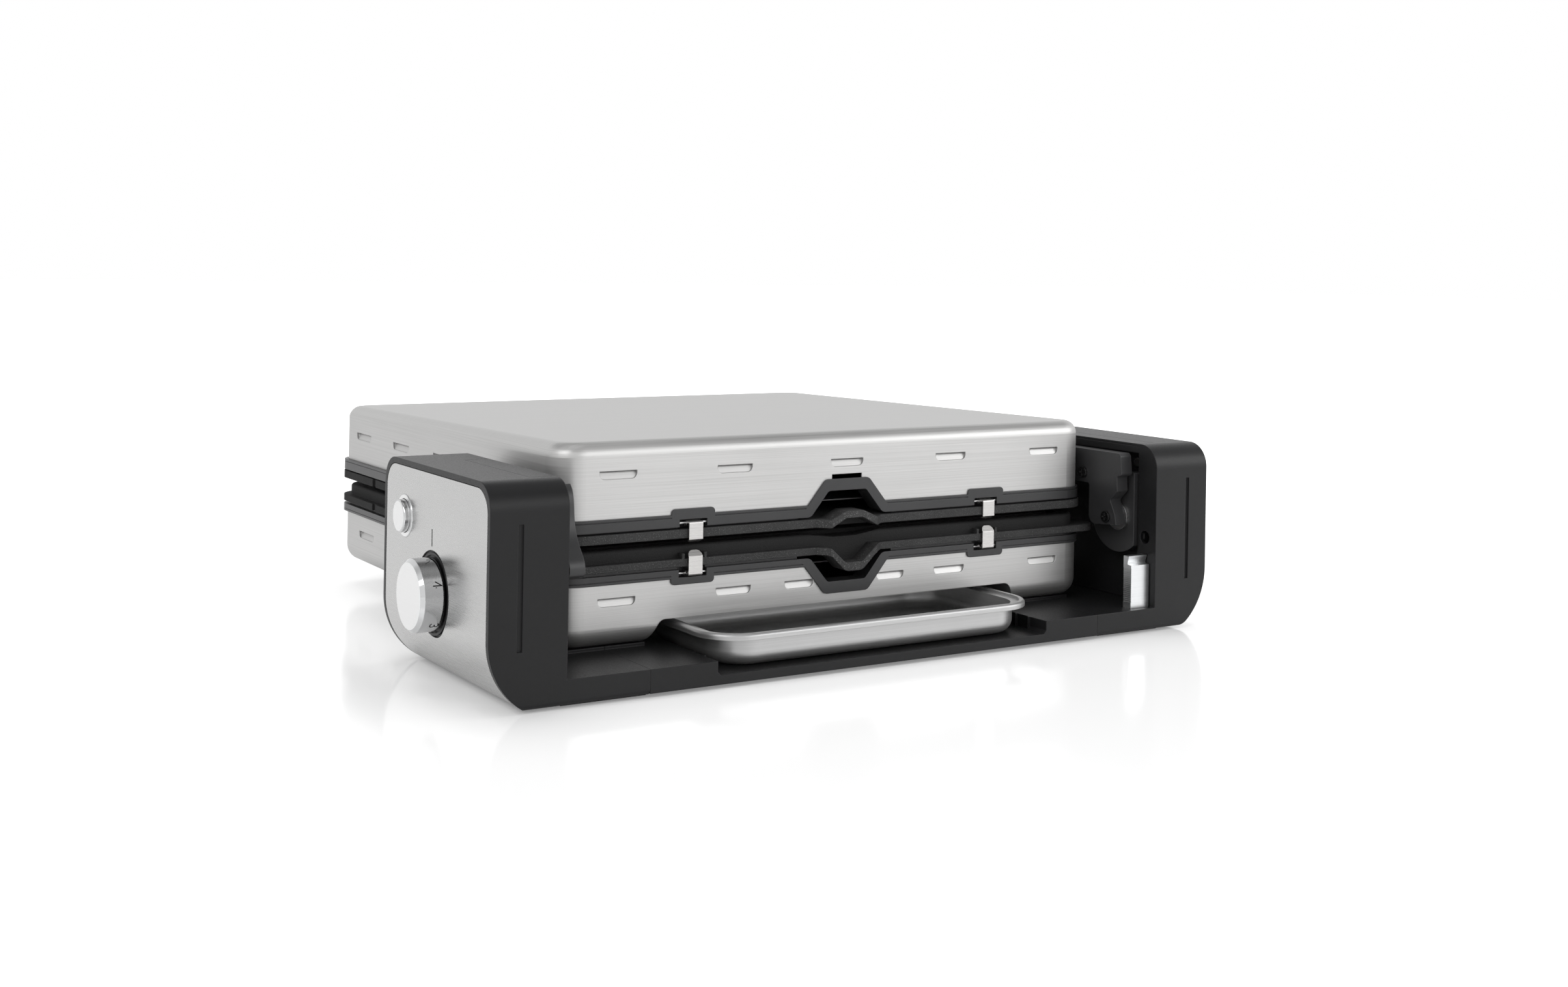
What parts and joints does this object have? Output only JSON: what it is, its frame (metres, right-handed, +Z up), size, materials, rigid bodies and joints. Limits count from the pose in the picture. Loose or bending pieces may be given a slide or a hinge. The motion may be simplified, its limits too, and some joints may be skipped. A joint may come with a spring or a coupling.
{
  "type": "contact grill",
  "caption": "Two-plate electric contact grill with a hinged upper half between end towers, knob and push button on one tower, spring plate clips and a drip tray under the hinge side.",
  "frame": {"origin": "middle of the outline's underside, on the table", "axes": "+X to the right and +Y to the back as seen from the hinge side, where the towers and the drip tray are; +Z up"},
  "size_m": [0.5134, 0.4645, 0.1308],
  "materials": {
    "brushed_steel": "fine horizontal brushed grain, light",
    "panel_steel": "very light brushed sheet",
    "chrome": "polished bevel, brushed face",
    "clip_metal": "satin spring steel",
    "hardware": "bright zinc plated",
    "dark_hardware": "blackened screw heads",
    "housing_plastic": "black satin moulded plastic",
    "rim_plastic": "black satin plastic with light edges",
    "inner_plastic": "plain moulded plastic, inside",
    "plate_coating": "cast aluminium with a granular non-stick coating",
    "heater_metal": "dull heating tube",
    "reflector_metal": "bright thin sheet",
    "tray_steel": "brushed inside, bright rolled rim",
    "lever_aluminium": "satin extruded aluminium",
    "rubber": "dark soft rubber",
    "grip_plastic": "black satin heat-proof plastic"
  },
  "bodies": {
    "base": {"base_pads": "rubber", "beam_screws": "hardware", "button_bezel": "chrome", "cord_gland": "housing_plastic", "cover_screws": "hardware", "cross_beam": "housing_plastic", "heater_clamps": "heater_metal", "left_bottom_cover": "housing_plastic", "left_hinge_bracket": "rim_plastic", "left_hinge_bush": "hardware", "left_inner_cover": "housing_plastic", "left_side_panel": "panel_steel", "left_top_strip": "housing_plastic", "left_tower": "housing_plastic", "lower_clip_pins": "hardware", "lower_heater": "heater_metal", "lower_plate": "plate_coating", "lower_reflector": "reflector_metal", "lower_rim": "rim_plastic", "lower_shell": "brushed_steel", "push_switch": "inner_plastic", "rear_legs": "housing_plastic", "rear_pads": "rubber", "right_bottom_cover": "housing_plastic", "right_hinge_bracket": "rim_plastic", "right_hinge_bush": "hardware", "right_inner_cover": "housing_plastic", "right_side_panel": "panel_steel", "right_top_strip": "housing_plastic", "right_tower": "housing_plastic", "stop_lever_pin": "hardware", "terminal_block": "inner_plastic", "thermostat": "inner_plastic"},
    "lid": {"upper_shell": "brushed_steel", "upper_rim": "rim_plastic", "upper_plate": "plate_coating", "upper_reflector": "reflector_metal", "upper_heater": "heater_metal", "upper_clip_pins": "hardware", "left_arm": "rim_plastic", "right_arm": "rim_plastic", "left_hinge_axle": "hardware", "right_hinge_axle": "hardware", "hinge_retainers": "hardware", "arm_screws": "dark_hardware", "arm_bolts": "hardware", "left_handle_post": "grip_plastic", "right_handle_post": "grip_plastic", "handle_grip": "grip_plastic", "handle_bolts": "hardware"},
    "knob": {"knob": "chrome", "knob_shaft": "hardware"},
    "power_button": {"power_button": "chrome"},
    "stop_lever": {"stop_lever": "lever_aluminium"},
    "drip_tray": {"drip_tray": "tray_steel"},
    "upper_left_clip": {"upper_left_clip": "clip_metal"},
    "upper_right_clip": {"upper_right_clip": "clip_metal"},
    "lower_left_clip": {"lower_left_clip": "clip_metal"},
    "lower_right_clip": {"lower_right_clip": "clip_metal"}
  },
  "joints": [
    {"name": "lid_hinge", "type": "hinge", "parent": "base", "child": "lid", "pos_m": [0.00675, -0.20075, 0.07], "axis": [1, 0, 0], "range_deg": [0, 106]},
    {"name": "knob_turn", "type": "hinge", "parent": "base", "child": "knob", "pos_m": [-0.24325, -0.15575, 0.0503], "axis": [1, 0, 0], "range_deg": [-190, 80]},
    {"name": "button_press", "type": "slide", "parent": "base", "child": "power_button", "axis": [1, 0, 0], "range_m": [0, 0.0025], "stiffness_N_per_m": 600, "springref_m": -0.001},
    {"name": "lever_tilt", "type": "hinge", "parent": "base", "child": "stop_lever", "pos_m": [0.20475, -0.22375, 0.011], "axis": [1, 0, 0], "range_deg": [0, 12], "stiffness_Nm_per_rad": 0.4, "springref_deg": -11.46},
    {"name": "tray_slide", "type": "slide", "parent": "base", "child": "drip_tray", "axis": [0, -1, 0], "range_m": [0, 0.1]},
    {"name": "upper_left_clip_spring", "type": "hinge", "parent": "lid", "child": "upper_left_clip", "pos_m": [-0.09885, -0.18265, 0.0832], "axis": [-1, 0, 0], "range_deg": [0, 18], "stiffness_Nm_per_rad": 0.3, "springref_deg": -8.59},
    {"name": "upper_right_clip_spring", "type": "hinge", "parent": "lid", "child": "upper_right_clip", "pos_m": [0.11235, -0.18265, 0.0832], "axis": [-1, 0, 0], "range_deg": [0, 18], "stiffness_Nm_per_rad": 0.3, "springref_deg": -8.59},
    {"name": "lower_left_clip_spring", "type": "hinge", "parent": "base", "child": "lower_left_clip", "pos_m": [-0.09885, -0.18265, 0.0548], "axis": [1, 0, 0], "range_deg": [0, 18], "stiffness_Nm_per_rad": 0.3, "springref_deg": -8.59},
    {"name": "lower_right_clip_spring", "type": "hinge", "parent": "base", "child": "lower_right_clip", "pos_m": [0.11235, -0.18265, 0.0548], "axis": [1, 0, 0], "range_deg": [0, 18], "stiffness_Nm_per_rad": 0.3, "springref_deg": -8.59}
  ]
}
